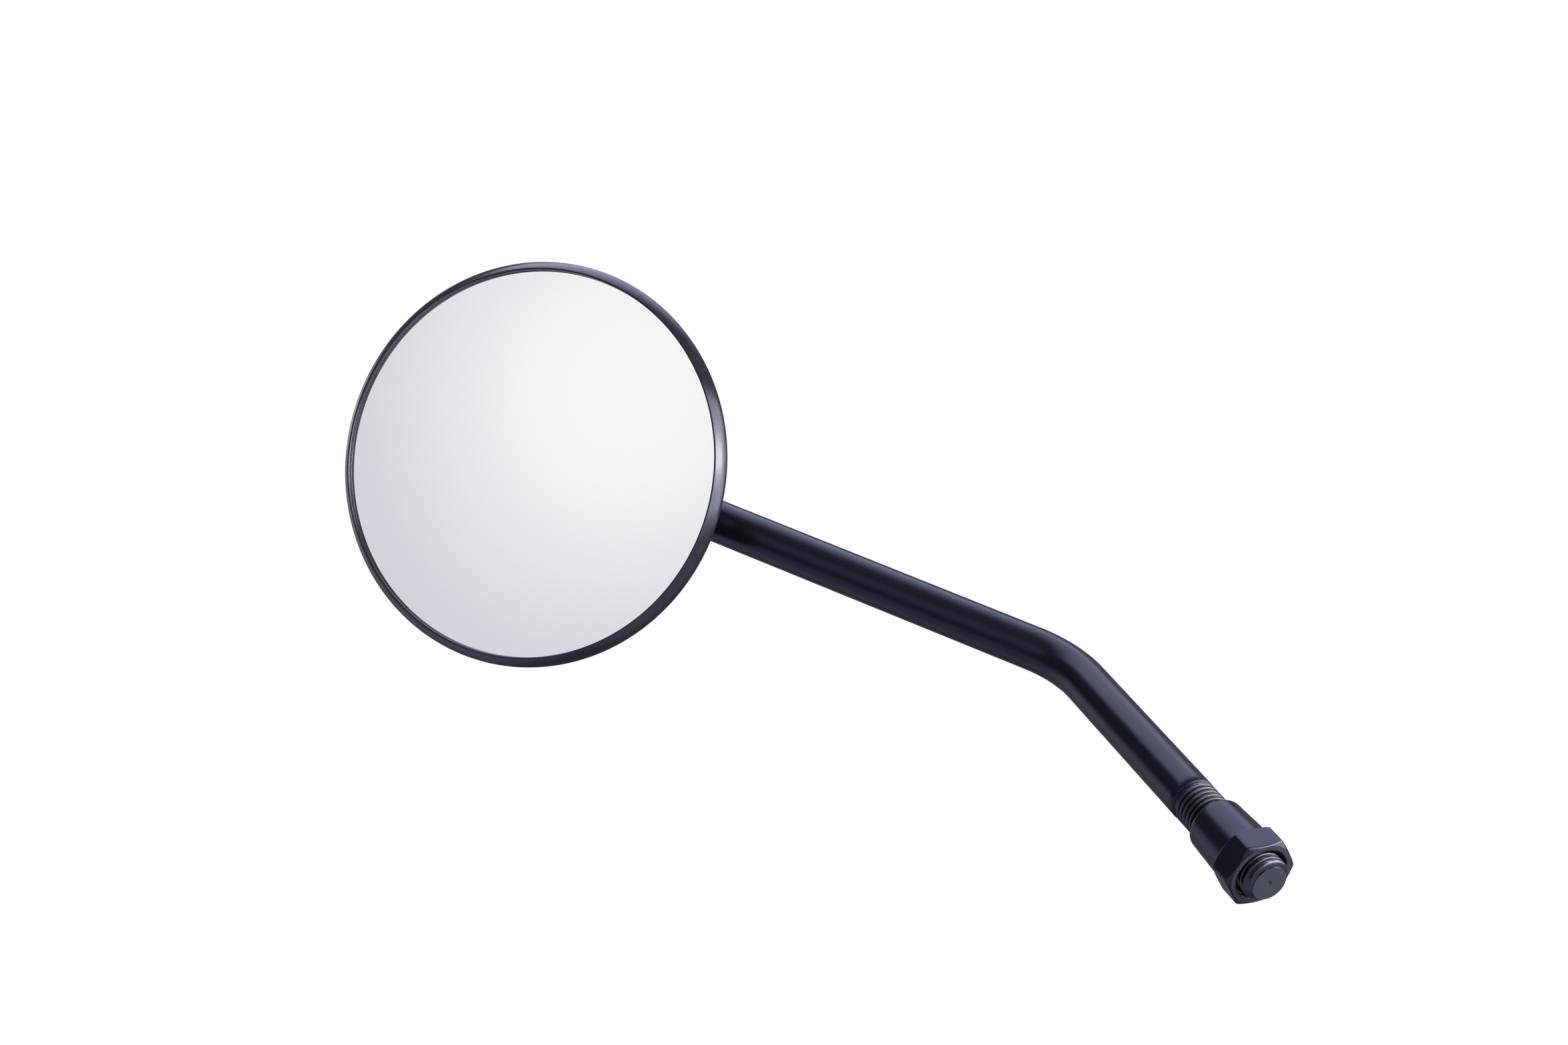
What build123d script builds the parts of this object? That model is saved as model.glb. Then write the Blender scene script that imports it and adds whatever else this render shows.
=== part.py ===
from build123d import *
import os
from math import cos, radians, sin, sqrt, tan

os.makedirs("parts", exist_ok=True)

# Driving dimensions, millimetres and degrees; the origin is the centre of the lock nut's lower face

# Stem: one bent bar with a threaded foot and a ball at its upper end
rod_d = 10.0
thread_d = 9.87
thread_top = 25.4
stud_length = 2.9
stud_tip_d = 7.5
centre_mark_d = 1.1
bend_height = 79.0
bend_turn = 40.0
bend_radius = 23.0
upper_reach = 113.5
ball_d = 16.0
neck_d = 7.6
neck_length = 16.5
taper_length = 2.5

# Lock nut: hexagon with a tapered round skirt
nut_af = 14.0
nut_hex_h = 6.0
nut_h = 17.4
nut_face_d = 13.5
nut_chamfer = 30.0
nut_turn = -7.6
skirt_root_d = 13.3
skirt_top_d = 12.2
skirt_edge_r = 1.0
nut_mouth_d = 11.6

# Pose of the head on the ball, as photographed
roll_rest = -26.6
nod_rest = 3.65
swing_rest = 9.4
nod_range = 10.0
swing_range = 13.0

# Head: rolled rim, convex glass and pressed pan
rim_d = 95.1
rim_wall = 0.8
rim_slope_width = 1.9
rim_slope_depth = 2.7
rim_slope_r = 7.0
rim_edge_r = 1.0
rim_crest_r = 0.3
rim_lip_r = 0.4
rim_lip_height = 1.35
rim_rear_r = 3.2
rim_rear_lip = 0.9
glass_overlap = 0.55
glass_t = 1.8
glass_curve_r = 1200.0
glass_bevel = 0.25
gasket_wall = 0.15
gasket_width = 2.8
pad_margin = 3.0
pad_t = 1.4
pan_wall = 1.0
pan_depth = 14.0

# Ball socket in the head
pivot_offset = 18.3
ball_depth = 23.55
pod_d = 29.4
pod_rear = 12.0
pod_corner_r = 9.5
pod_root_r = 2.0
seat_polar = 50.0
seat_hole_d = 3.0
plunger_d = 15.2
plunger_front = 14.6
spring_seat = 12.2
spring_seat_d = 12.8
spring_wire_d = 1.4
spring_mean_d = 10.0
spring_turns = 2.0
cup_depth = 17.4
cup_flange_d = 31.0
cup_corner_r = 2.0
rivet_circle_r = 20.0
rivet_count = 3
rivet_first_angle = 100.0
rivet_sweep_angle = 160.0
rivet_d = 3.2
rivet_head_d = 5.4
rivet_head_h = 1.3
rivet_dome = 1.0
ear_r = 4.0
seal_hub_d = 9.8
seal_hub_near = 9.4
seal_skirt_in = 11.3
seal_skirt_out = 12.5
seal_half_angle = 35.0
seal_edge_r = 0.5
mouth_near = 11.0

# Fits
thread_fit = 0.05
ball_fit = 0.05
slide_fit = 0.08
face_gap = 0.04
loose_gap = 0.3

# Frames worked out from the dimensions
turn = radians(bend_turn)
bend_corner = Vector(0, 0, bend_height)
to_head = Vector(-sin(turn), 0, cos(turn))
ball_centre = bend_corner + to_head * upper_reach
neutral = Plane(ball_centre, x_dir=-to_head, z_dir=Vector(-cos(turn), 0, -sin(turn)))
pivot = Plane(neutral.location * Rotation(roll_rest, nod_rest, swing_rest))
head_centre = ball_centre + pivot.z_dir * ball_depth - pivot.x_dir * pivot_offset
head = Plane(head_centre, x_dir=pivot.x_dir, z_dir=pivot.z_dir)
pivot_section = Plane(pivot.origin, x_dir=pivot.x_dir, z_dir=-pivot.y_dir)
head_section = Plane(head.origin, x_dir=head.x_dir, z_dir=-head.y_dir)
stem_section = Plane(ball_centre, x_dir=-to_head, z_dir=neutral.y_dir)
pivot_axis = Axis(pivot.origin, pivot.z_dir)
head_axis = Axis(head.origin, head.z_dir)
stem_axis = Axis(ball_centre, to_head)

# Sizes shared by neighbouring pieces
ball_r = ball_d / 2
seat_r = ball_r + ball_fit
neck_r = neck_d / 2
rod_r = rod_d / 2
rim_r = rim_d / 2
rim_depth = rim_slope_depth + rim_rear_r
crest_r = rim_r - rim_slope_width
lip_in_r = crest_r - rim_lip_r
rear_turn_r = rim_r - rim_rear_r
rear_lip_end = rear_turn_r - rim_rear_lip
glass_r = lip_in_r + glass_overlap
pocket_r = glass_r + gasket_wall + 2 * face_gap
glass_edge = -rim_lip_height - face_gap
flange_back = -(rim_depth - rim_wall) + face_gap
flange_front = flange_back + pan_wall
pan_corner_r = pan_depth + flange_back
pan_side_r = rear_lip_end - loose_gap
floor_back = ball_depth - pan_depth
floor_front = floor_back + pan_wall
cone_r = pod_d
cone_x = cone_r * sin(radians(seat_polar))
cone_z = cone_r * cos(radians(seat_polar))

# Stem: swept bar, plain cylinder at the thread's crests, turned neck and ball
upper_end = ball_centre - to_head * (neck_length + taper_length)
ball_join = sqrt(ball_r**2 - neck_r**2)
with BuildPart() as stem:
    with BuildLine() as centre_line:
        FilletPolyline((0, 0, thread_top), bend_corner, upper_end, radius=bend_radius)
    with BuildSketch(Plane.XY.offset(thread_top)):
        Circle(rod_r)
    sweep(path=centre_line.line)
    with BuildSketch(Plane.XY.offset(-stud_length)):
        Circle(thread_d / 2)
    extrude(amount=stud_length + thread_top)
    tip = stem.edges().filter_by(GeomType.CIRCLE).sort_by(Axis.Z)[0]
    chamfer(tip, length=(thread_d - stud_tip_d) / 2)
    with BuildSketch(stem_section):
        with BuildLine():
            ThreePointArc((-ball_r, 0), (0, ball_r), (ball_join, neck_r))
            Polyline(
                (ball_join, neck_r),
                (neck_length, neck_r),
                (neck_length + taper_length, rod_r),
                (neck_length + taper_length, 0),
                (-ball_r, 0),
            )
        make_face()
    revolve(axis=stem_axis)
    with Locations((0, 0, -stud_length)):
        Cone(
            centre_mark_d / 2,
            0,
            centre_mark_d / 2,
            align=(Align.CENTER, Align.CENTER, Align.MIN),
            mode=Mode.SUBTRACT,
        )
stem.part.label = "stem"
export_step(stem.part, "parts/stem.step")

# Lock nut: chamfered hexagon, tapered skirt, clear bore and countersunk mouth
nut_corner_r = nut_af / sqrt(3) + loose_gap
nut_face_r = nut_face_d / 2
corner_drop = (nut_corner_r - nut_face_r) * tan(radians(nut_chamfer))
nut_bore_r = thread_d / 2 + thread_fit
with BuildPart() as lock_nut:
    with BuildSketch(Plane.XY):
        RegularPolygon(nut_af / 2, 6, major_radius=False, rotation=nut_turn)
    extrude(amount=nut_hex_h)
    with BuildSketch(Plane.XZ):
        Polygon(
            (0, 0),
            (nut_face_r, 0),
            (nut_corner_r, corner_drop),
            (nut_corner_r, nut_hex_h - corner_drop),
            (nut_face_r, nut_hex_h),
            (0, nut_hex_h),
            align=None,
        )
    revolve(axis=Axis.Z, mode=Mode.INTERSECT)
    with BuildSketch(Plane.XZ):
        Polygon(
            (0, nut_hex_h),
            (skirt_root_d / 2, nut_hex_h),
            (skirt_top_d / 2, nut_h),
            (0, nut_h),
            align=None,
        )
    revolve(axis=Axis.Z)
    fillet(lock_nut.edges().group_by(Axis.Z)[-1], radius=skirt_edge_r)
    with BuildSketch(Plane.XY):
        Circle(nut_bore_r)
    extrude(amount=nut_h, mode=Mode.SUBTRACT)
    mouth = lock_nut.edges().group_by(Axis.Z)[0].sort_by(SortBy.LENGTH)
    chamfer(mouth.filter_by(GeomType.CIRCLE)[0], length=nut_mouth_d / 2 - nut_bore_r)
lock_nut.part.label = "lock_nut"
export_step(lock_nut.part, "parts/lock_nut.step")

# Rim ring: sloped band with a hemmed lip over the glass and a lip turned in behind the pan's flange
rim_bore_r = rim_r - rim_wall
rear_bore_r = rim_rear_r - rim_wall
with BuildPart() as rim_ring:
    with BuildSketch(head_section) as rim_section:
        with BuildLine():
            RadiusArc((crest_r, 0), (rim_r, -rim_slope_depth), rim_slope_r)
            CenterArc((crest_r, -rim_lip_r), rim_lip_r, 90, 90)
            Polyline(
                (lip_in_r, -rim_lip_r),
                (lip_in_r, -rim_lip_height),
                (pocket_r, -rim_lip_height),
                (rim_bore_r, -rim_slope_depth),
            )
            CenterArc((rear_turn_r, -rim_slope_depth), rear_bore_r, 0, -90)
            Polyline(
                (rear_turn_r, -rim_depth + rim_wall),
                (rear_lip_end, -rim_depth + rim_wall),
                (rear_lip_end, -rim_depth),
                (rear_turn_r, -rim_depth),
            )
            CenterArc((rear_turn_r, -rim_slope_depth), rim_rear_r, -90, 90)
        make_face()
        fillet(rim_section.vertices().sort_by(Axis.X)[-1], radius=rim_edge_r)
        fillet(rim_section.vertices().sort_by(Axis.Y)[-1], radius=rim_crest_r)
    revolve(axis=head_axis)
rim_ring.part.label = "rim_ring"
export_step(rim_ring.part, "parts/rim_ring.step")

# Mirror glass: convex disc of even thickness with a ground edge
glass_rise = glass_curve_r - sqrt(glass_curve_r**2 - glass_r**2)
with BuildPart() as mirror_glass:
    with BuildSketch(head_section):
        with BuildLine():
            RadiusArc((0, glass_edge + glass_rise), (glass_r, glass_edge), glass_curve_r)
            Line((glass_r, glass_edge), (glass_r, glass_edge - glass_t))
            RadiusArc(
                (0, glass_edge + glass_rise - glass_t),
                (glass_r, glass_edge - glass_t),
                glass_curve_r,
            )
            Line((0, glass_edge + glass_rise - glass_t), (0, glass_edge + glass_rise))
        make_face()
    revolve(axis=head_axis)
    chamfer(mirror_glass.edges().filter_by(GeomType.CIRCLE), length=glass_bevel)
mirror_glass.part.label = "mirror_glass"
export_step(mirror_glass.part, "parts/mirror_glass.step")

# Glass gasket: angle-section rubber ring under the glass and round its edge
gasket_top = glass_edge - glass_t - face_gap
gasket_bottom = flange_front + face_gap
gasket_in = glass_r + face_gap
with BuildPart() as glass_gasket:
    with BuildSketch(head_section):
        Polygon(
            (gasket_in, glass_edge - glass_bevel),
            (gasket_in + gasket_wall, glass_edge - glass_bevel),
            (gasket_in + gasket_wall, gasket_bottom),
            (glass_r - gasket_width, gasket_bottom),
            (glass_r - gasket_width, gasket_top),
            (gasket_in, gasket_top),
            align=None,
        )
    revolve(axis=head_axis)
glass_gasket.part.label = "glass_gasket"
export_step(glass_gasket.part, "parts/glass_gasket.step")

# Backing pad: foam disc that follows the back of the glass
pad_r = glass_r - gasket_width - pad_margin
pad_curve_r = glass_curve_r - glass_t - face_gap
pad_top = glass_edge + glass_rise - glass_t - face_gap
pad_rise = pad_curve_r - sqrt(pad_curve_r**2 - pad_r**2)
with BuildPart() as backing_pad:
    with BuildSketch(head_section):
        with BuildLine():
            RadiusArc((0, pad_top), (pad_r, pad_top - pad_rise), pad_curve_r)
            Polyline(
                (pad_r, pad_top - pad_rise),
                (pad_r, pad_top - pad_t - pad_rise),
                (0, pad_top - pad_t - pad_rise),
                (0, pad_top),
            )
        make_face()
    revolve(axis=head_axis)
backing_pad.part.label = "backing_pad"
export_step(backing_pad.part, "parts/backing_pad.step")

# Housing: pressed pan, domed pod round the ball and a flared mouth for the neck
pod_r = pod_d / 2
pod_arc_x = pod_r - pod_corner_r
pod_arc_z = pod_corner_r - pod_rear
chamber_r = pod_r - pan_wall
chamber_corner_r = pod_corner_r - pan_wall
floor_r = pan_side_r - pan_corner_r
inner_corner_r = pan_corner_r - pan_wall
nod = radians(nod_range)
swing = radians(swing_range)
near_high = mouth_near * tan(nod) + neck_r / cos(nod) + loose_gap
near_wide = mouth_near * tan(swing) + neck_r / cos(swing) + loose_gap
far_high = neck_length * tan(nod) + neck_r / cos(nod) + loose_gap
far_wide = neck_length * tan(swing) + neck_r / cos(swing) + loose_gap
mouth_plane = Plane(pivot.origin, x_dir=pivot.y_dir, z_dir=pivot.x_dir)
with BuildPart() as housing:
    with BuildSketch(head_section):
        with BuildLine():
            Polyline((0, -pan_depth + pan_wall), (0, -pan_depth), (floor_r, -pan_depth))
            CenterArc((floor_r, flange_back), pan_corner_r, -90, 90)
            Polyline(
                (pan_side_r, flange_back),
                (rear_turn_r, flange_back),
                (rear_turn_r, flange_front),
                (pan_side_r - pan_wall, flange_front),
                (pan_side_r - pan_wall, flange_back),
            )
            CenterArc((floor_r, flange_back), inner_corner_r, -90, 90)
            Line((floor_r, -pan_depth + pan_wall), (0, -pan_depth + pan_wall))
        make_face()
    revolve(axis=head_axis)
    with BuildSketch(pivot_section):
        with BuildLine():
            Polyline((pod_arc_x, -pod_rear), (0, -pod_rear), (0, floor_front))
            Polyline((0, floor_front), (pod_r, floor_front), (pod_r, pod_arc_z))
            CenterArc((pod_arc_x, pod_arc_z), pod_corner_r, -90, 90)
        make_face()
    revolve(axis=pivot_axis)
    pod_root = housing.edges().filter_by(GeomType.CIRCLE)
    pod_root = pod_root.filter_by(lambda e: abs(e.radius - pod_r) < 0.01)
    pod_root = pod_root.filter_by(lambda e: abs(pivot.to_local_coords(e.arc_center).Z - floor_back) < 0.1)
    fillet(pod_root, radius=pod_root_r)
    with BuildSketch(pivot_section):
        with BuildLine():
            Polyline(
                (pod_arc_x, -pod_rear + pan_wall),
                (0, -pod_rear + pan_wall),
                (0, floor_front),
                (chamber_r, floor_front),
                (chamber_r, pod_arc_z),
            )
            CenterArc((pod_arc_x, pod_arc_z), chamber_corner_r, -90, 90)
        make_face()
    revolve(axis=pivot_axis, mode=Mode.SUBTRACT)
    with BuildSketch(mouth_plane.offset(mouth_near)):
        RectangleRounded(2 * near_wide, 2 * near_high, neck_r)
    with BuildSketch(mouth_plane.offset(neck_length)):
        RectangleRounded(2 * far_wide, 2 * far_high, neck_r)
    loft(ruled=True, mode=Mode.SUBTRACT)
    with BuildSketch(pivot.offset(floor_back)):
        with PolarLocations(rivet_circle_r, rivet_count, rivet_first_angle, rivet_sweep_angle, endpoint=True):
            Circle(rivet_d / 2 + face_gap)
    extrude(amount=pan_wall, mode=Mode.SUBTRACT)
housing.part.label = "housing"
export_step(housing.part, "parts/housing.step")

# Rear seat: nylon half-socket behind the ball, shaped to the pod's domed end
seat_corner_r = chamber_corner_r - slide_fit
with BuildPart() as rear_seat:
    with BuildSketch(pivot_section):
        with BuildLine():
            Polyline((pod_arc_x, -pod_rear + pan_wall + slide_fit), (0, -pod_rear + pan_wall + slide_fit))
            Polyline(
                (0, -pod_rear + pan_wall + slide_fit),
                (0, 0),
                (pod_arc_x + seat_corner_r, 0),
                (pod_arc_x + seat_corner_r, pod_arc_z),
            )
            CenterArc((pod_arc_x, pod_arc_z), seat_corner_r, -90, 90)
        make_face()
        Rectangle(plunger_d, 2 * cone_r, mode=Mode.INTERSECT)
        Circle(seat_r, mode=Mode.SUBTRACT)
        Polygon((0, 0), (cone_x, -cone_z), (cone_r, 1), (0, 1), align=None, mode=Mode.SUBTRACT)
        Rectangle(seat_hole_d, 2 * cone_r, mode=Mode.SUBTRACT)
    revolve(axis=pivot_axis)
rear_seat.part.label = "rear_seat"
export_step(rear_seat.part, "parts/rear_seat.step")

# Front seat: nylon plunger with a socket for the ball and a recess for the spring
with BuildPart() as front_seat:
    with BuildSketch(pivot_section):
        Polygon(
            (0, 0),
            (plunger_d / 2, 0),
            (plunger_d / 2, plunger_front),
            (spring_seat_d / 2, plunger_front),
            (spring_seat_d / 2, spring_seat),
            (0, spring_seat),
            align=None,
        )
        Circle(seat_r, mode=Mode.SUBTRACT)
        Polygon((0, 0), (cone_x, cone_z), (cone_r, -1), (0, -1), align=None, mode=Mode.SUBTRACT)
        Rectangle(seat_hole_d, 2 * cone_r, mode=Mode.SUBTRACT)
    revolve(axis=pivot_axis)
front_seat.part.label = "front_seat"
export_step(front_seat.part, "parts/front_seat.step")

# Clutch spring: short coil spring between the plunger and the cup
spring_low = spring_seat + spring_wire_d / 2 + face_gap
spring_rise = cup_depth - spring_seat - spring_wire_d - 2 * face_gap
with BuildPart() as clutch_spring:
    with BuildLine():
        coil = Helix(
            spring_rise / spring_turns,
            spring_rise,
            spring_mean_d / 2,
            center=pivot.from_local_coords(Vector(0, 0, spring_low)),
            direction=pivot.z_dir,
        )
    with BuildSketch(Plane(coil @ 0, z_dir=coil % 0)):
        Circle(spring_wire_d / 2)
    sweep(path=coil, is_frenet=True)
clutch_spring.part.label = "clutch_spring"
export_step(clutch_spring.part, "parts/clutch_spring.step")

# Clamp cup: drawn cup over the spring with a three-eared flange
cup_bore_r = plunger_d / 2 + slide_fit
flange_low = floor_front + face_gap
with BuildPart() as clamp_cup:
    with BuildSketch(pivot.offset(flange_low)):
        Circle(cup_flange_d / 2)
        with PolarLocations(rivet_circle_r, rivet_count, rivet_first_angle, rivet_sweep_angle, endpoint=True):
            Circle(ear_r)
        make_hull()
    extrude(amount=pan_wall)
    with BuildSketch(pivot.offset(flange_low)):
        Circle(cup_bore_r + pan_wall)
    extrude(amount=cup_depth + pan_wall - flange_low)
    fillet(clamp_cup.edges().group_by(pivot_axis)[-1], radius=cup_corner_r)
    with BuildSketch(pivot.offset(flange_low)):
        Circle(cup_bore_r)
    extrude(amount=cup_depth - flange_low, mode=Mode.SUBTRACT)
    with BuildSketch(pivot.offset(flange_low)):
        with PolarLocations(rivet_circle_r, rivet_count, rivet_first_angle, rivet_sweep_angle, endpoint=True):
            Circle(rivet_d / 2 + face_gap)
    extrude(amount=pan_wall, mode=Mode.SUBTRACT)
clamp_cup.part.label = "clamp_cup"
export_step(clamp_cup.part, "parts/clamp_cup.step")

# Rivets: three, with a domed head on each side of the pan and the cup's flange
head_back = floor_back - face_gap
head_front = flange_low + pan_wall + face_gap
with BuildPart() as rivets:
    with BuildSketch(pivot.offset(head_back)):
        with PolarLocations(rivet_circle_r, rivet_count, rivet_first_angle, rivet_sweep_angle, endpoint=True):
            Circle(rivet_head_d / 2)
    extrude(amount=-rivet_head_h)
    with BuildSketch(pivot.offset(head_front)):
        with PolarLocations(rivet_circle_r, rivet_count, rivet_first_angle, rivet_sweep_angle, endpoint=True):
            Circle(rivet_head_d / 2)
    extrude(amount=rivet_head_h)
    ends = rivets.edges().group_by(pivot_axis)
    fillet(ends[0] + ends[-1], radius=rivet_dome)
    with BuildSketch(pivot.offset(head_back)):
        with PolarLocations(rivet_circle_r, rivet_count, rivet_first_angle, rivet_sweep_angle, endpoint=True):
            Circle(rivet_d / 2)
    extrude(amount=head_front - head_back)
rivets.part.label = "rivets"
export_step(rivets.part, "parts/rivets.step")

# Neck seal: rubber ring on the neck with a round skirt that closes the pod's mouth from inside
skirt = radians(seal_half_angle)
seal_bore_r = neck_r + ball_fit
with BuildPart() as neck_seal:
    with BuildSketch(stem_section) as seal_section:
        Circle(seal_skirt_out)
        Circle(seal_skirt_in, mode=Mode.SUBTRACT)
        Polygon(
            (0, 0),
            (cone_r, 0),
            (cone_r * cos(skirt), cone_r * sin(skirt)),
            align=None,
            mode=Mode.INTERSECT,
        )
        Polygon(
            (seal_hub_near, 0),
            (seal_skirt_in, 0),
            (seal_skirt_in, seal_hub_d / 2),
            (seal_hub_near, seal_hub_d / 2),
            align=None,
        )
        Rectangle(2 * cone_r, 2 * seal_bore_r, mode=Mode.SUBTRACT)
        fillet(seal_section.vertices().sort_by(Axis.Y)[-2:], radius=seal_edge_r)
    revolve(axis=stem_axis)
neck_seal.part.label = "neck_seal"
export_step(neck_seal.part, "parts/neck_seal.step")
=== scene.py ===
import bpy
import math
from mathutils import Matrix, Vector


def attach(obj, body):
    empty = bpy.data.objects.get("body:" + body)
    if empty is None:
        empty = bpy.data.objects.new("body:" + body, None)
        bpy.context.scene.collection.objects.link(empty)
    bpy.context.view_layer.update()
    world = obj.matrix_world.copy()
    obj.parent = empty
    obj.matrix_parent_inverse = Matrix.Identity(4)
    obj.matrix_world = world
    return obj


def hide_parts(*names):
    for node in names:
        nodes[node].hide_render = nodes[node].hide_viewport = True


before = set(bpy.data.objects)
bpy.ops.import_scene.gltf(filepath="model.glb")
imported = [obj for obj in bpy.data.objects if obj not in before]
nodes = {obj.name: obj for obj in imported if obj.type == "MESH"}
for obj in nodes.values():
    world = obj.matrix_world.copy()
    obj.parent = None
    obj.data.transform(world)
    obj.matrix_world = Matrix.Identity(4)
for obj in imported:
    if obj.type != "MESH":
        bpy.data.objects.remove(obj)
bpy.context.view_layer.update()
scene = bpy.context.scene

# Lengths are in millimetres unless a comment says metres
MM = 0.001
X = Vector((1, 0, 0))
Y = Vector((0, 1, 0))
Z = Vector((0, 0, 1))
POLE_R = 0.02  # smallest ring, where a skin closes on its axis

# Stem sizes
ROD_R = 5.0
THREAD_R = 4.935
THREAD_TOP = 25.4
STUD = 2.9  # length of the foot below the nut's face
TIP_R = 3.75
MARK_R = 0.55  # turning mark in the foot's end
BEND_Z = 79.0
BEND_R = 23.0
TURN = math.radians(40)
REACH = 113.5  # from the bend's corner to the ball
BALL_R = 8.0
NECK_R = 3.8
NECK_L = 16.5
TAPER_L = 2.5

# Thread form and small edges of the stem
PITCH = 1.25
GROOVE_Z = 0.2  # height of a groove's middle on the +X side
THREAD_DEPTH = 0.72
CREST_SHARE = 0.16  # shares of half a pitch where a flank starts and ends
ROOT_SHARE = 0.86
RUN_OUT = 0.45  # the grooves fade in over this length from the foot's end
TIP_BLEND = 0.06
RELIEF_START = 1.1  # the relief groove begins and is full this far under the shoulder
RELIEF_FULL = 0.7
SHOULDER_CORNER = ((0.005, 0.45), (0.035, 0.2), (0.115, 0.1))  # rise from the relief, drop from the shoulder
SHOULDER_EDGE = 0.05
MARK_EDGE = 0.15
TIP_EDGE = 0.1
BAR_EDGE = 0.05
NECK_CORNER = ((0.3, 0.14), (0.0, 0.02), (-0.4, 0.0))  # distance before the neck, rise from it

# Lock nut sizes
NUT_AF = 14.0
NUT_HEX = 6.0
NUT_H = 17.4
NUT_FACE_R = 6.75
NUT_CHAMFER = math.radians(30)
NUT_TURN = math.radians(-7.6)
SKIRT_ROOT = 6.65
SKIRT_TOP = 6.1
SKIRT_EDGE = 1.0
THREAD_FIT = 0.05
NUT_BORE = THREAD_R + THREAD_FIT
NUT_MOUTH = 5.8

# Small edges of the lock nut
CORNER_CUT = 0.06  # the hexagon's corners are worn off by this much
CORNER_BLEND = 0.40
LOW_BLEND = 0.45
HIGH_BLEND = 0.30
BORE_EASE = 0.1
BORE_EASE_L = 0.5
ROOT_CORNER = ((-0.05, 0.25), (-0.02, 0.1), (0.02, 0.02))  # offset from the root, height over the hexagon
FACE_CORNER = ((0.02, 0.005), (0.15, 0.0))  # inset from the face's edge, height
MOUTH_EDGE = 0.03
MOUTH_DROP = 0.04

# Rim sizes
RIM_R = 47.55
RIM_WALL = 0.8
SLOPE_W = 1.9
SLOPE_D = 2.7
SLOPE_R = 7.0
EDGE_R = 1.0
CREST_R = 0.3
LIP_R = 0.4
LIP_H = 1.35
REAR_R = 3.2
REAR_LIP = 0.9
LIP_END_R = 0.15
HEM_R = 0.18
CORNER_R = 0.12
CORNER_BACK = 0.10  # from the pocket's wall to the centre of its corner

# Glass sizes, from the rim's lip
GLASS_OVERLAP = 0.55
GASKET_WALL = 0.15
FACE_GAP = 0.04
LIP_IN_R = RIM_R - SLOPE_W - LIP_R
GLASS_R = LIP_IN_R + GLASS_OVERLAP
GLASS_EDGE = -LIP_H - FACE_GAP
GLASS_T = 1.8
GLASS_CURVE = 1200.0
GLASS_BEVEL = 0.25

# Pose of the head on the ball
OFFSET = 18.3
DEPTH = 23.55
ROLL = math.radians(-26.6)
NOD = math.radians(3.65)
SWING = math.radians(9.4)

# Points round and along the skins
COLS = 96
NUT_COLS = 384
RIM_COLS = 288
GLASS_COLS = 256
ROWS_PER_PITCH = 16
BAR_STEPS = 24
BEND_STEPS = 32
BALL_STEPS = 40
BALL_POLE = 0.01  # radians left open at the ball's pole
SKIRT_STEPS = 12
FINE_STEP = 0.05
FINE_ROWS = 19
FLAT_STEPS = 8
GLASS_STEPS = 28

# Frames: the head's centre and axes follow from the stem and the ball's pose
to_head = Vector((-math.sin(TURN), 0, math.cos(TURN)))
bar_side = Vector((math.cos(TURN), 0, math.sin(TURN)))
corner = Z * BEND_Z
ball = corner + to_head * REACH
neutral = Matrix((-to_head, -Y, -bar_side)).transposed()
pose = Matrix.Rotation(ROLL, 3, "X") @ Matrix.Rotation(NOD, 3, "Y") @ Matrix.Rotation(SWING, 3, "Z")
axes = neutral @ pose
head_x, head_y, head_z = axes.col
head_o = ball + head_z * DEPTH - head_x * OFFSET


# Mesh helpers
def add_mesh(name, verts, faces, sharp):
    """Smooth-shaded object, sharp at edges that turn by more than sharp degrees."""
    mesh = bpy.data.meshes.new(name)
    mesh.from_pydata([v * MM for v in verts], [], faces)
    mesh.validate()
    for poly in mesh.polygons:
        poly.use_smooth = True
    mesh.set_sharp_from_angle(angle=math.radians(sharp))
    obj = bpy.data.objects.new(name, mesh)
    scene.collection.objects.link(obj)
    return obj


def ring(origin, ex, ey, radii, turn=0.0):
    """Closed ring of points, one for each radius, evenly spaced round the origin."""
    points = []
    for j, radius in enumerate(radii):
        t = 2 * math.pi * j / len(radii) + turn
        points.append(origin + ex * (radius * math.cos(t)) + ey * (radius * math.sin(t)))
    return points


def skin(rings, closed=False):
    """Quads between rings of equal length, each ring closed on itself."""
    count = len(rings[0])
    total = len(rings)
    verts = [v for points in rings for v in points]
    faces = []
    for i in range(total if closed else total - 1):
        a = i * count
        b = ((i + 1) % total) * count
        for j in range(count):
            k = (j + 1) % count
            faces.append((a + j, a + k, b + k, b + j))
    return verts, faces


def end_caps(total, count):
    """Faces that close the first and the last ring of a skin."""
    return [tuple(reversed(range(count))), tuple(range(total - count, total))]


def flipped(faces):
    return [tuple(reversed(face)) for face in faces]


def lathe(profile, count, closed=True):
    """Skin of a profile of radii and heights, turned round the head's axis."""
    rings = []
    for r, z in profile:
        rings.append(ring(head_o + head_z * z, head_x, head_y, [r] * count))
    return skin(rings, closed)


def arc(centre, r, start, end, steps):
    """Points of an arc round a centre, between two angles in degrees."""
    points = []
    for i in range(steps + 1):
        t = math.radians(start + (end - start) * i / steps)
        points.append((centre[0] + r * math.cos(t), centre[1] + r * math.sin(t)))
    return points


def smooth_min(a, b, k):
    """The smaller of two values, with a rounded change-over of width k."""
    h = max(0.0, min(1.0, 0.5 + 0.5 * (b - a) / k))
    return b * (1 - h) + a * h - k * h * (1 - h)


def ramp(x, low, high):
    """Smooth step from 0 at low to 1 at high."""
    t = max(0.0, min(1.0, (x - low) / (high - low)))
    return t * t * (3 - 2 * t)


# Stem: rolled thread, bar, bend, turned neck and ball in one skin
bend_tangent = BEND_R * math.tan(TURN / 2)
bend_start = BEND_Z - bend_tangent


def rod_ring(z, r):
    return ring(Z * z, X, Y, [r] * COLS)


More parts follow.
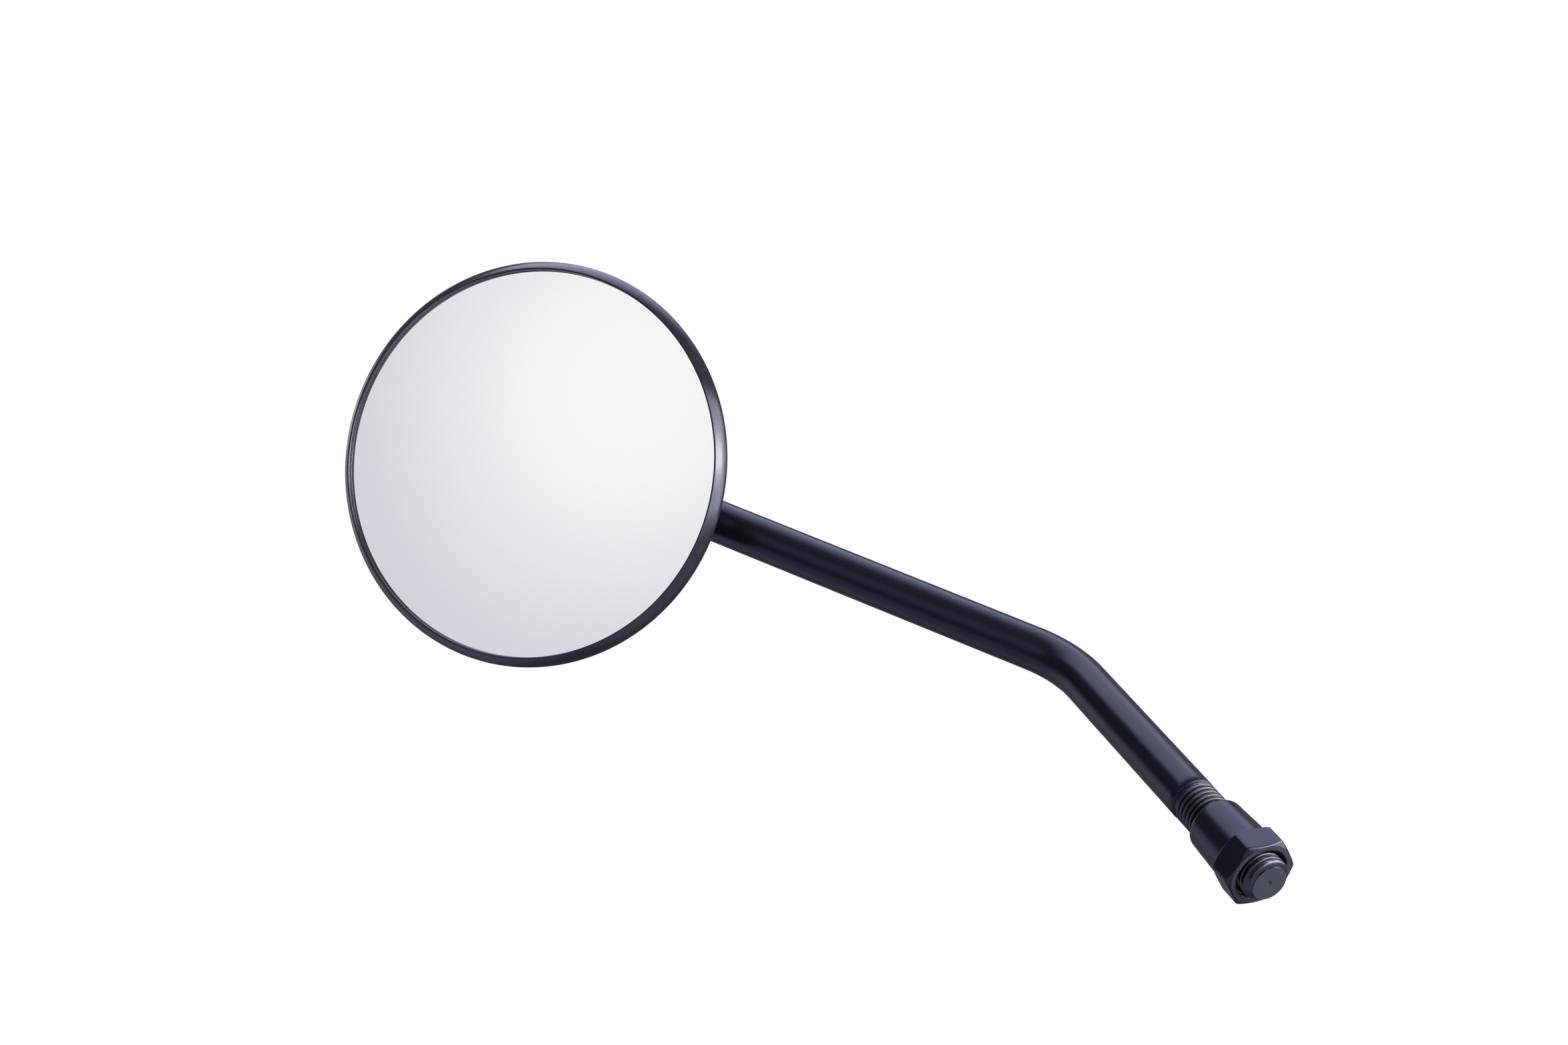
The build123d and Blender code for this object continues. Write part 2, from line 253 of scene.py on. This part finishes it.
def thread_radius(angle, z):
    """Helical grooves with a relief under the shoulder, run out on the cone of the foot's end."""
    phase = ((z - GROOVE_Z) / PITCH - angle / (2 * math.pi)) % 1.0
    from_crest = abs(phase - 0.5) * 2
    depth = THREAD_DEPTH * ramp(from_crest, CREST_SHARE, ROOT_SHARE)
    relief = ramp(z, THREAD_TOP - RELIEF_START, THREAD_TOP - RELIEF_FULL)
    depth += (THREAD_DEPTH - depth) * relief
    depth *= ramp(z, -STUD, -STUD + RUN_OUT)
    cone = TIP_R + (z + STUD)
    return smooth_min(THREAD_R, cone, TIP_BLEND) - depth


def foot_rings():
    """End face with its turning mark, thread, relief and the bar's shoulder."""
    rings = [
        rod_ring(-STUD + MARK_R, POLE_R),
        rod_ring(-STUD, MARK_R),
        rod_ring(-STUD, MARK_R + MARK_EDGE),
        rod_ring(-STUD, TIP_R - TIP_EDGE),
    ]
    length = STUD + THREAD_TOP - RELIEF_FULL
    rows = int(length / PITCH * ROWS_PER_PITCH)
    angles = [2 * math.pi * j / COLS for j in range(COLS)]
    for i in range(rows + 1):
        z = -STUD + length * i / rows
        rings.append(ring(Z * z, X, Y, [thread_radius(t, z) for t in angles]))
    for rise_r, drop in SHOULDER_CORNER:
        rings.append(rod_ring(THREAD_TOP - drop, THREAD_R - THREAD_DEPTH + rise_r))
    rings.append(rod_ring(THREAD_TOP, ROD_R - SHOULDER_EDGE))
    rings.append(rod_ring(THREAD_TOP + SHOULDER_EDGE, ROD_R))
    return rings


def bar_rings():
    """Lower bar, bend and upper bar."""
    rings = []
    start = THREAD_TOP + SHOULDER_EDGE
    for i in range(1, BAR_STEPS + 1):
        rings.append(rod_ring(start + (bend_start - start) * i / BAR_STEPS, ROD_R))
    bend_centre = Vector((-BEND_R, 0, bend_start))
    for i in range(1, BEND_STEPS + 1):
        t = TURN * i / BEND_STEPS
        side = Vector((math.cos(t), 0, math.sin(t)))
        rings.append(ring(bend_centre + side * BEND_R, side, Y, [ROD_R] * COLS))
    bend_end = corner + to_head * bend_tangent
    length = REACH - bend_tangent - NECK_L - TAPER_L
    for i in range(1, BAR_STEPS + 1):
        rings.append(ring(bend_end + to_head * (length * i / BAR_STEPS), bar_side, Y, [ROD_R] * COLS))
    return rings


def ball_rings():
    """Taper, neck and ball, from the bar's end to the ball's far pole."""
    rings = [ring(ball - to_head * (NECK_L + TAPER_L), bar_side, Y, [ROD_R - BAR_EDGE] * COLS)]
    for before, rise_r in NECK_CORNER:
        rings.append(ring(ball - to_head * (NECK_L + before), bar_side, Y, [NECK_R + rise_r] * COLS))
    join = math.asin(NECK_R / BALL_R)
    for i in range(BALL_STEPS + 1):
        t = join + (math.pi - join - BALL_POLE) * i / BALL_STEPS
        origin = ball - to_head * (BALL_R * math.cos(t))
        rings.append(ring(origin, bar_side, Y, [BALL_R * math.sin(t)] * COLS))
    return rings


def make_stem():
    verts, faces = skin(foot_rings() + bar_rings() + ball_rings())
    return add_mesh("stem_bar", verts, faces + end_caps(len(verts), COLS), sharp=50)


stem = make_stem()
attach(stem, "stem")
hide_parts("stem")


# Lock nut: hexagon with turned chamfers, tapered skirt, countersunk mouth and clear bore
def hex_radius(t):
    """Radius of the hexagon's outline, with its corners worn round."""
    local = (t + math.pi / 6) % (math.pi / 3) - math.pi / 6
    flat = NUT_AF / 2 / math.cos(math.pi / 6 - abs(local))
    return smooth_min(flat, NUT_AF / math.sqrt(3) - CORNER_CUT, CORNER_BLEND)


def hex_row(z):
    """Ring of the hexagon, cut by the chamfer cones of both ends."""
    low = NUT_FACE_R + z / math.tan(NUT_CHAMFER)
    high = NUT_FACE_R + (NUT_HEX - z) / math.tan(NUT_CHAMFER)
    radii = []
    for j in range(NUT_COLS):
        outline = hex_radius(2 * math.pi * j / NUT_COLS)
        radii.append(smooth_min(smooth_min(outline, low, LOW_BLEND), high, HIGH_BLEND))
    return ring(Z * z, X, Y, radii, NUT_TURN)


def round_row(r, z):
    return ring(Z * z, X, Y, [r] * NUT_COLS, NUT_TURN)


def skirt_rings():
    """Bore's upper edge, rounded top and tapered wall down to the hexagon."""
    rings = [round_row(NUT_BORE, NUT_H - BORE_EASE_L), round_row(NUT_BORE + BORE_EASE, NUT_H - BORE_EASE)]
    edge_z = NUT_H - SKIRT_EDGE
    for r, z in arc((SKIRT_TOP - SKIRT_EDGE, edge_z), SKIRT_EDGE, start=90, end=3, steps=10):
        rings.append(round_row(r, z))
    root = [(SKIRT_ROOT + offset, NUT_HEX + height) for offset, height in ROOT_CORNER]
    wall_r, wall_z = root[0]
    for i in range(1, SKIRT_STEPS + 1):
        t = i / SKIRT_STEPS
        rings.append(round_row(SKIRT_TOP + (wall_r - SKIRT_TOP) * t, edge_z + (wall_z - edge_z) * t))
    for r, z in root[1:]:
        rings.append(round_row(r, z))
    return rings


def hex_rings():
    """Hexagon from its upper to its lower face, with fine rows over the chamfers."""
    fine = [FINE_STEP * i for i in range(1, FINE_ROWS + 1)]
    band = FINE_STEP * (FINE_ROWS + 1)
    flats = [NUT_HEX - band - (NUT_HEX - 2 * band) * i / FLAT_STEPS for i in range(FLAT_STEPS + 1)]
    levels = [NUT_HEX - z for z in fine] + flats + fine[::-1]
    return [hex_row(z) for z in levels]


def mouth_rings():
    """Lower face and countersunk mouth of the bore."""
    depth = NUT_MOUTH - NUT_BORE
    rings = [round_row(NUT_FACE_R - inset, z) for inset, z in FACE_CORNER]
    rings.append(round_row(NUT_MOUTH + 2 * MOUTH_EDGE, 0.0))
    rings.append(round_row(NUT_MOUTH - MOUTH_EDGE, MOUTH_DROP))
    rings.append(round_row(NUT_BORE + MOUTH_EDGE, depth - MOUTH_EDGE))
    rings.append(round_row(NUT_BORE, depth + 2 * MOUTH_EDGE))
    return rings


def make_nut():
    verts, faces = skin(skirt_rings() + hex_rings() + mouth_rings(), closed=True)
    return add_mesh("lock_nut_body", verts, flipped(faces), sharp=40)


nut = make_nut()
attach(nut, "nut")
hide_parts("lock_nut")


# Rim ring: sloped front, rounded crest, hemmed lip and rolled rear
def circles_meet(a, a_r, b, b_r):
    """Point at a_r from a and b_r from b, on the right of the way from a to b."""
    way = b - a
    along = (a_r**2 - b_r**2 + way.length_squared) / (2 * way.length)
    aside = math.sqrt(a_r**2 - along**2)
    unit = way.normalized()
    return a + unit * along + Vector((unit.y, -unit.x)) * aside


def bearing(a, b):
    """Angle of the way from a to b."""
    return math.degrees(math.atan2(b.y - a.y, b.x - a.x))


def rim_profile():
    """Closed section in radius and height, as tangent arcs from the outer edge over the crest to the rear."""
    crest = Vector((RIM_R - SLOPE_W, 0))
    outer = Vector((RIM_R, -SLOPE_D))
    chord = outer - crest
    inward = Vector((-SLOPE_D, -SLOPE_W)).normalized()
    slope_c = (crest + outer) / 2 + inward * math.sqrt(SLOPE_R**2 - chord.length_squared / 4)
    rear_c = Vector((RIM_R - REAR_R, -SLOPE_D))
    edge_c = circles_meet(slope_c, SLOPE_R - EDGE_R, rear_c, REAR_R - EDGE_R)
    crest_x = LIP_IN_R + CREST_R
    crest_rise = math.sqrt((SLOPE_R - CREST_R) ** 2 - (crest_x - slope_c.x) ** 2)
    crest_c = Vector((crest_x, slope_c.y + crest_rise))
    rear_join = bearing(rear_c, edge_c)
    edge_join = bearing(slope_c, edge_c)
    crest_join = bearing(slope_c, crest_c)

    pocket_r = GLASS_R + GASKET_WALL + 2 * FACE_GAP
    wall_lean = math.degrees(math.atan2(RIM_R - RIM_WALL - pocket_r, SLOPE_D - LIP_H))
    lip_end = (LIP_IN_R + LIP_END_R, -LIP_H + LIP_END_R)
    pocket_corner = (pocket_r - CORNER_BACK, -LIP_H - CORNER_R)
    hem_x = rear_c.x - REAR_LIP + HEM_R
    hem_top = (hem_x, rear_c.y - REAR_R + RIM_WALL - HEM_R)
    hem_bottom = (hem_x, rear_c.y - REAR_R + HEM_R)
    # Tangent arcs meet in a shared point, which is kept once
    return (
        arc(edge_c, EDGE_R, rear_join, edge_join, steps=8)
        + arc(slope_c, SLOPE_R, edge_join, crest_join, steps=14)[1:]
        + arc(crest_c, CREST_R, crest_join, 180, steps=14)[1:]
        + arc(lip_end, LIP_END_R, 180, 270, steps=5)
        + arc(pocket_corner, CORNER_R, 90, wall_lean, steps=3)
        + arc(rear_c, REAR_R - RIM_WALL, 0, -90, steps=8)
        + arc(hem_top, HEM_R, 90, 180, steps=5)
        + arc(hem_bottom, HEM_R, 180, 270, steps=5)
        + arc(rear_c, REAR_R, -90, rear_join, steps=14)[:-1]
    )


def make_rim():
    verts, faces = lathe(rim_profile(), RIM_COLS)
    return add_mesh("rim_band", verts, faces, sharp=60)


rim = make_rim()
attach(rim, "head")
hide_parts("rim_ring")


# Mirror glass: convex front and back with a ground edge
def cap(r):
    """Height of the glass's front at a radius."""
    return GLASS_EDGE + math.sqrt(GLASS_CURVE**2 - r * r) - math.sqrt(GLASS_CURVE**2 - GLASS_R**2)


def make_glass():
    bevel_r = GLASS_R - GLASS_BEVEL
    front = [(POLE_R, cap(0.0))]
    for i in range(1, GLASS_STEPS):
        r = GLASS_R * i / GLASS_STEPS
        front.append((r, cap(r)))
    front.append((bevel_r, cap(bevel_r)))
    back = [(r, z - GLASS_T) for r, z in front]
    edge = [(GLASS_R, GLASS_EDGE - GLASS_BEVEL), (GLASS_R, GLASS_EDGE - GLASS_T + GLASS_BEVEL)]
    verts, faces = lathe(front + edge + back[::-1], GLASS_COLS, closed=False)
    return add_mesh("mirror_disc", verts, faces + flipped(end_caps(len(verts), GLASS_COLS)), sharp=20)


glass = make_glass()
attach(glass, "head")
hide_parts("mirror_glass")


# Shader helpers
def new_material(name):
    mat = bpy.data.materials.new(name)
    mat.use_nodes = True
    return mat, mat.node_tree, mat.node_tree.nodes["Principled BSDF"]


def noise(tree, scale, detail):
    tex = tree.nodes.new("ShaderNodeTexNoise")
    tex.inputs["Scale"].default_value = scale
    tex.inputs["Detail"].default_value = detail
    tex.inputs["Roughness"].default_value = 0.5
    coord = tree.nodes.new("ShaderNodeTexCoord")
    tree.links.new(coord.outputs["Object"], tex.inputs["Vector"])
    return tex.outputs["Fac"]


def spread(tree, value, low, high, to_low, to_high, kind="LINEAR"):
    """Value mapped from low..high to to_low..to_high."""
    node = tree.nodes.new("ShaderNodeMapRange")
    node.interpolation_type = kind
    node.inputs["From Min"].default_value = low
    node.inputs["From Max"].default_value = high
    node.inputs["To Min"].default_value = to_low
    node.inputs["To Max"].default_value = to_high
    tree.links.new(value, node.inputs["Value"])
    return node.outputs["Result"]


def two_tone(tree, value, dark, light):
    node = tree.nodes.new("ShaderNodeMix")
    node.data_type = "RGBA"
    node.inputs["A"].default_value = (*dark, 1)
    node.inputs["B"].default_value = (*light, 1)
    tree.links.new(value, node.inputs["Factor"])
    return node.outputs["Result"]


def bump(tree, value, strength, distance):
    node = tree.nodes.new("ShaderNodeBump")
    node.inputs["Strength"].default_value = strength
    node.inputs["Distance"].default_value = distance
    tree.links.new(value, node.inputs["Height"])
    return node.outputs["Normal"]


# Materials; noise scales are per metre, bump distances in metres
NOISE_LOW = 0.3  # most of the noise lies between these values
NOISE_HIGH = 0.7
DULL_LEVEL = 0.02  # specular level left on edges seen at a grazing angle
COAT_VARIES = 0.025  # roughness varies by this much either way
SOFT_VARIES = 0.06
COOL_TINT = (0.52, 0.55, 1.0)
PALE_TINT = (0.62, 0.66, 1.0)


def varied_roughness(tree, bsdf, value, low, high):
    tree.links.new(spread(tree, value, NOISE_LOW, NOISE_HIGH, low, high), bsdf.inputs["Roughness"])


def coat_material(name, dark, light, shine, tint, rough, grain=0.06, dull=(0.70, 0.97)):
    """Black coat with a cloudy tone and a fine peel, which dulls towards grazing angles."""
    mat, tree, bsdf = new_material(name)
    cloud = noise(tree, scale=90, detail=3)
    peel = noise(tree, scale=1500, detail=2)
    tree.links.new(two_tone(tree, cloud, dark, light), bsdf.inputs["Base Color"])
    varied_roughness(tree, bsdf, cloud, rough - COAT_VARIES, rough + COAT_VARIES)
    tree.links.new(bump(tree, peel, strength=grain, distance=0.0001), bsdf.inputs["Normal"])
    facing = tree.nodes.new("ShaderNodeLayerWeight").outputs["Facing"]
    level = spread(tree, facing, *dull, shine, DULL_LEVEL)
    tree.links.new(level, bsdf.inputs["Specular IOR Level"])
    bsdf.inputs["Specular Tint"].default_value = (*tint, 1)
    return mat


def mirror_material():
    """Silvered glass with a faint haze."""
    mat, tree, bsdf = new_material("silvered_glass")
    haze = noise(tree, scale=25, detail=2)
    silver_tone = two_tone(tree, haze, dark=(0.975, 0.978, 0.985), light=(0.985, 0.985, 0.99))
    tree.links.new(silver_tone, bsdf.inputs["Base Color"])
    varied_roughness(tree, bsdf, haze, 0.010, 0.022)
    bsdf.inputs["Metallic"].default_value = 1.0
    return mat


def soft_material(name, dark, light, scale, rough):
    """Rubber, foam or nylon: matt and finely speckled."""
    mat, tree, bsdf = new_material(name)
    speck = noise(tree, scale, detail=3)
    tree.links.new(two_tone(tree, speck, dark, light), bsdf.inputs["Base Color"])
    varied_roughness(tree, bsdf, speck, rough - SOFT_VARIES, rough + SOFT_VARIES)
    tree.links.new(bump(tree, speck, strength=0.25, distance=0.0002), bsdf.inputs["Normal"])
    return mat


def steel_material():
    """Zinc-plated steel with a fine grain."""
    mat, tree, bsdf = new_material("zinc_steel")
    grain = noise(tree, scale=700, detail=4)
    tree.links.new(two_tone(tree, grain, (0.46, 0.46, 0.45), (0.60, 0.60, 0.59)), bsdf.inputs["Base Color"])
    varied_roughness(tree, bsdf, grain, 0.28, 0.40)
    bsdf.inputs["Metallic"].default_value = 1.0
    return mat


# Lighter coat for the end faces that look down: the foot's end and the nut's lower face
lighter_end = coat_material(
    "lighter_end_coat",
    dark=(0.0155, 0.0170, 0.0235),
    light=(0.0195, 0.0215, 0.0290),
    shine=0.34,
    tint=COOL_TINT,
    rough=0.30,
)
thread = coat_material(
    "worn_thread_coat",
    dark=(0.003, 0.003, 0.004),
    light=(0.006, 0.006, 0.008),
    shine=0.56,
    tint=PALE_TINT,
    rough=0.27,
    grain=0.35,
)
satin = coat_material(
    "black_satin_coat",
    dark=(0.0030, 0.0030, 0.0045),
    light=(0.0045, 0.0045, 0.0065),
    shine=0.34,
    tint=COOL_TINT,
    rough=0.225,
)
gloss = coat_material(
    "black_gloss_coat",
    dark=(0.0060, 0.0060, 0.0085),
    light=(0.0085, 0.0085, 0.0120),
    shine=0.5,
    tint=PALE_TINT,
    rough=0.20,
    dull=(0.58, 0.86),
)
silver = mirror_material()
rubber = soft_material("black_rubber", (0.012, 0.012, 0.013), (0.024, 0.024, 0.026), scale=900, rough=0.62)
foam = soft_material("grey_foam", (0.05, 0.05, 0.05), (0.13, 0.13, 0.13), scale=1600, rough=0.85)
nylon = soft_material("black_nylon", (0.030, 0.030, 0.032), (0.050, 0.050, 0.053), scale=300, rough=0.48)
steel = steel_material()


# Each piece and each solid gets its material
DOWNWARD = -0.95  # a face whose normal's height is below this looks down
END_BAND = 0.2  # the lighter-coated faces lie within these heights of the foot's end and of the nut's face
FACE_BAND = 0.03
THREAD_COAT_END = 0.15  # the thread's coat ends this far under the shoulder


def dress(obj, mat):
    obj.data.materials.clear()
    obj.data.materials.append(mat)


dress(stem, satin)
dress(nut, satin)
# End faces that look down take the lighter coat
for obj, top in ((stem, -STUD + END_BAND), (nut, FACE_BAND)):
    obj.data.materials.append(lighter_end)
    for poly in obj.data.polygons:
        if poly.center.z < top * MM and poly.normal.z < DOWNWARD:
            poly.material_index = 1
stem.data.materials.append(thread)
for poly in stem.data.polygons:
    if poly.material_index == 0 and poly.center.z < (THREAD_TOP - THREAD_COAT_END) * MM:
        poly.material_index = 2
dress(rim, gloss)
dress(glass, silver)
for name, mat in (
    ("housing", gloss),
    ("rivets", gloss),
    ("glass_gasket", rubber),
    ("neck_seal", rubber),
    ("backing_pad", foam),
    ("front_seat", nylon),
    ("rear_seat", nylon),
    ("clamp_cup", steel),
    ("clutch_spring", steel),
    ("stem", satin),
    ("lock_nut", satin),
    ("rim_ring", gloss),
    ("mirror_glass", silver),
):
    dress(nodes[name], mat)


# Camera at the photograph's viewpoint
CAMERA_PLACE = Vector((-269.27, -238.87, -282.40))
CAMERA_AZIMUTH = 136.335
CAMERA_ELEVATION = 52.408
CAMERA_ROLL = math.radians(-38.633)
PHOTO_WIDTH = 2352
FOCAL_PIXELS = 3400
SENSOR = 36.0


def toward(azimuth, elevation):
    """Direction at an azimuth, which is 0 along -Y and 90 along +X, and an elevation."""
    a = math.radians(azimuth)
    e = math.radians(elevation)
    return Vector((math.sin(a) * math.cos(e), -math.cos(a) * math.cos(e), math.sin(e)))


def make_camera():
    data = bpy.data.cameras.new("photo_camera")
    data.sensor_width = SENSOR
    data.lens = FOCAL_PIXELS / PHOTO_WIDTH * SENSOR
    data.clip_start = 0.01
    data.clip_end = 50.0
    camera = bpy.data.objects.new("photo_camera", data)
    scene.collection.objects.link(camera)
    forward = toward(CAMERA_AZIMUTH, CAMERA_ELEVATION)
    level = forward.cross(Z).normalized()
    right = level * math.cos(CAMERA_ROLL) + level.cross(forward) * math.sin(CAMERA_ROLL)
    turn = Matrix((right, right.cross(forward), -forward)).transposed().to_4x4()
    camera.matrix_world = Matrix.Translation(CAMERA_PLACE * MM) @ turn
    scene.camera = camera


make_camera()

# Floor, well below the mirror, which fades out towards its edge; in metres
FLOOR_HALF = 1.5
FLOOR_Z = -0.8
FADE_START = 0.9
FADE_END = 1.45


def floor_material():
    mat, tree, bsdf = new_material("pale_floor")
    tone = two_tone(tree, noise(tree, scale=3, detail=2), dark=(0.89, 0.88, 0.80), light=(0.91, 0.90, 0.82))
    tree.links.new(tone, bsdf.inputs["Base Color"])
    bsdf.inputs["Roughness"].default_value = 0.7
    from_middle = tree.nodes.new("ShaderNodeVectorMath")
    from_middle.operation = "LENGTH"
    tree.links.new(tree.nodes.new("ShaderNodeTexCoord").outputs["Object"], from_middle.inputs[0])
    share = spread(tree, from_middle.outputs["Value"], FADE_START, FADE_END, 0.0, 1.0)
    clear = tree.nodes.new("ShaderNodeBsdfTransparent")
    fade = tree.nodes.new("ShaderNodeMixShader")
    tree.links.new(share, fade.inputs["Fac"])
    tree.links.new(bsdf.outputs["BSDF"], fade.inputs[1])
    tree.links.new(clear.outputs["BSDF"], fade.inputs[2])
    tree.links.new(fade.outputs["Shader"], tree.nodes["Material Output"].inputs["Surface"])
    return mat


def make_floor():
    mesh = bpy.data.meshes.new("floor")
    corners = [(FLOOR_HALF * x, FLOOR_HALF * y, 0) for x, y in ((-1, -1), (1, -1), (1, 1), (-1, 1))]
    mesh.from_pydata(corners, [], [(0, 1, 2, 3)])
    obj = bpy.data.objects.new("floor", mesh)
    obj.location.z = FLOOR_Z
    scene.collection.objects.link(obj)
    dress(obj, floor_material())
    return obj


floor = make_floor()


# Studio light round the mirror; each light is a mask over the direction of a ray
KEY_TILT = (32.068, -13.953)  # azimuth and elevation across the softbox's slanting edge
PATCH_AT = (-140.0, 66.0)
PATCH_SLANT = 0.19  # rise of the patch's lower edge for each degree round
CARD_AT = (-60.0, -19.4)
SHADE_DEPTH = 0.6  # share of the wall's light that its shaded part loses
AMBIENT = (0.20, 0.20, 0.24)
KEY_COLOUR = (2.2, 2.3, 2.95)
KEY_WARMTH = (0.75, 0.7, 0.15)
WALL_COLOUR = (0.64, 0.69, 0.76)
PATCH_COLOUR = (1.27, 1.30, 1.33)
CARD_COLOUR = (0.412, 0.418, 0.440)
CARD_MIDDLE = (0.350, 0.341, 0.283)


def calc(tree, kind, *values):
    """Math node over numbers and sockets."""
    node = tree.nodes.new("ShaderNodeMath")
    node.operation = kind
    for i, value in enumerate(values):
        if isinstance(value, float):
            node.inputs[i].default_value = value
        else:
            tree.links.new(value, node.inputs[i])
    return node.outputs[0]


def product(tree, *terms):
    total = terms[0]
    for term in terms[1:]:
        total = calc(tree, "MULTIPLY", total, term)
    return total


def rise(tree, angle, start, full):
    """Mask that grows smoothly from 0 where the angle is start to 1 where it is full."""
    return spread(tree, angle, math.radians(start), math.radians(full), 0.0, 1.0, "SMOOTHSTEP")


def cosine_to(tree, ray, direction):
    """Cosine of the angle between a ray and a direction."""
    node = tree.nodes.new("ShaderNodeVectorMath")
    node.operation = "DOT_PRODUCT"
    tree.links.new(ray, node.inputs[0])
    node.inputs[1].default_value = direction
    return node.outputs["Value"]


def mixed(tree, kind, a, b):
    """Colour b blended onto colour a, where a may be a plain colour."""
    node = tree.nodes.new("ShaderNodeMix")
    node.data_type = "RGBA"
    node.blend_type = kind
    node.inputs["Factor"].default_value = 1.0
    if isinstance(a, tuple):
        node.inputs["A"].default_value = (*a, 1)
    else:
        tree.links.new(a, node.inputs["A"])
    tree.links.new(b, node.inputs["B"])
    return node.outputs["Result"]


def key_mask(tree, ray, azimuth, elevation):
    """Broad softbox above the front, with a slanting lower edge."""
    over_edge = calc(tree, "ARCSINE", cosine_to(tree, ray, toward(*KEY_TILT)))
    return product(
        tree,
        rise(tree, over_edge, start=-3.4, full=8.0),
        rise(tree, azimuth, start=72, full=40),
        rise(tree, elevation, start=10, full=38),
    )


def wall_mask(tree, azimuth, elevation):
    """Dim wall on the left, with a shaded part behind the mirror."""
    shade = product(
        tree,
        rise(tree, azimuth, start=-138, full=-150),
        rise(tree, elevation, start=10, full=18),
        rise(tree, elevation, start=52, full=44),
        SHADE_DEPTH,
    )
    return product(
        tree,
        rise(tree, azimuth, start=-98, full=-118),
        rise(tree, azimuth, start=-178, full=-150),
        rise(tree, elevation, start=-40, full=-25),
        rise(tree, elevation, start=84, full=60),
        calc(tree, "SUBTRACT", 1.0, shade),
    )


def patch_mask(tree, ray, azimuth, elevation):
    """Small bright patch high on the wall, with a slanting lower edge."""
    from_patch = calc(tree, "ARCCOSINE", cosine_to(tree, ray, toward(*PATCH_AT)))
    slant = calc(tree, "ADD", elevation, calc(tree, "MULTIPLY", azimuth, PATCH_SLANT))
    return product(tree, rise(tree, from_patch, start=14, full=5), rise(tree, slant, start=33, full=37))


def make_world():
    world = bpy.data.worlds.new("studio")
    scene.world = world
    world.use_nodes = True
    tree = world.node_tree
    ray = tree.nodes.new("ShaderNodeTexCoord").outputs["Generated"]
    parts = tree.nodes.new("ShaderNodeSeparateXYZ")
    tree.links.new(ray, parts.inputs[0])
    azimuth = calc(tree, "ARCTAN2", parts.outputs["X"], calc(tree, "MULTIPLY", parts.outputs["Y"], -1.0))
    elevation = calc(tree, "ARCSINE", parts.outputs["Z"])
    key = key_mask(tree, ray, azimuth, elevation)
    from_card = calc(tree, "ARCCOSINE", cosine_to(tree, ray, toward(*CARD_AT)))
    light = AMBIENT
    for mask, colour in (
        (key, KEY_COLOUR),
        (product(tree, key, rise(tree, azimuth, start=25, full=-10)), KEY_WARMTH),
        (wall_mask(tree, azimuth, elevation), WALL_COLOUR),
        (patch_mask(tree, ray, azimuth, elevation), PATCH_COLOUR),
        (rise(tree, from_card, start=24, full=17.5), CARD_COLOUR),
        (rise(tree, from_card, start=18, full=0), CARD_MIDDLE),
    ):
        light = mixed(tree, "ADD", light, mixed(tree, "MULTIPLY", colour, mask))
    seen = tree.nodes.new("ShaderNodeLightPath")
    backdrop = tree.nodes.new("ShaderNodeMix")
    backdrop.data_type = "RGBA"
    backdrop.inputs["B"].default_value = (1, 1, 1, 1)
    tree.links.new(seen.outputs["Is Camera Ray"], backdrop.inputs["Factor"])
    tree.links.new(light, backdrop.inputs["A"])
    tree.links.new(backdrop.outputs["Result"], tree.nodes["Background"].inputs["Color"])


make_world()
scene.view_settings.view_transform = "Standard"

# Softbox of three panels, brighter to the middle, which draws the bright patch on the rim
LAMP_ROUND = math.radians(12.93)  # round the head from its X axis
LAMP_LIFT = math.radians(12.998)  # from the head's plane towards its front
LAMP_ASIDE = math.radians(6.32)  # from the rim's section plane along the rim
AIM_R = 46.97
AIM_H = 0.935
LAMP_AWAY = 0.6  # metres
LAMP_PANELS = (
    ("core", (0.38, 0.13), 4.4, (1.0, 0.946, 0.714)),
    ("middle", (0.42, 0.28), 3.6, (1.0, 0.97, 0.80)),
    ("edge", (0.80, 0.56), 9.5, (1.0, 1.0, 0.93)),
)


def make_softbox():
    radial = head_x * math.cos(LAMP_ROUND) + head_y * math.sin(LAMP_ROUND)
    lifted = radial * math.cos(LAMP_LIFT) + head_z * math.sin(LAMP_LIFT)
    lamp_x = radial * math.sin(LAMP_LIFT) - head_z * math.cos(LAMP_LIFT)
    lamp_z = lifted * math.cos(LAMP_ASIDE) + head_z.cross(radial) * math.sin(LAMP_ASIDE)
    turn = Matrix((lamp_x, lamp_z.cross(lamp_x), lamp_z)).transposed().to_4x4()
    aim = (head_o + radial * AIM_R + head_z * AIM_H) * MM
    for name, size, watts, colour in LAMP_PANELS:
        data = bpy.data.lights.new("softbox_" + name, "AREA")
        data.shape = "RECTANGLE"
        data.size, data.size_y = size
        data.energy = watts
        data.color = colour
        lamp = bpy.data.objects.new("softbox_" + name, data)
        scene.collection.objects.link(lamp)
        lamp.matrix_world = Matrix.Translation(aim + lamp_z * LAMP_AWAY) @ turn
        lamp.visible_camera = False


make_softbox()
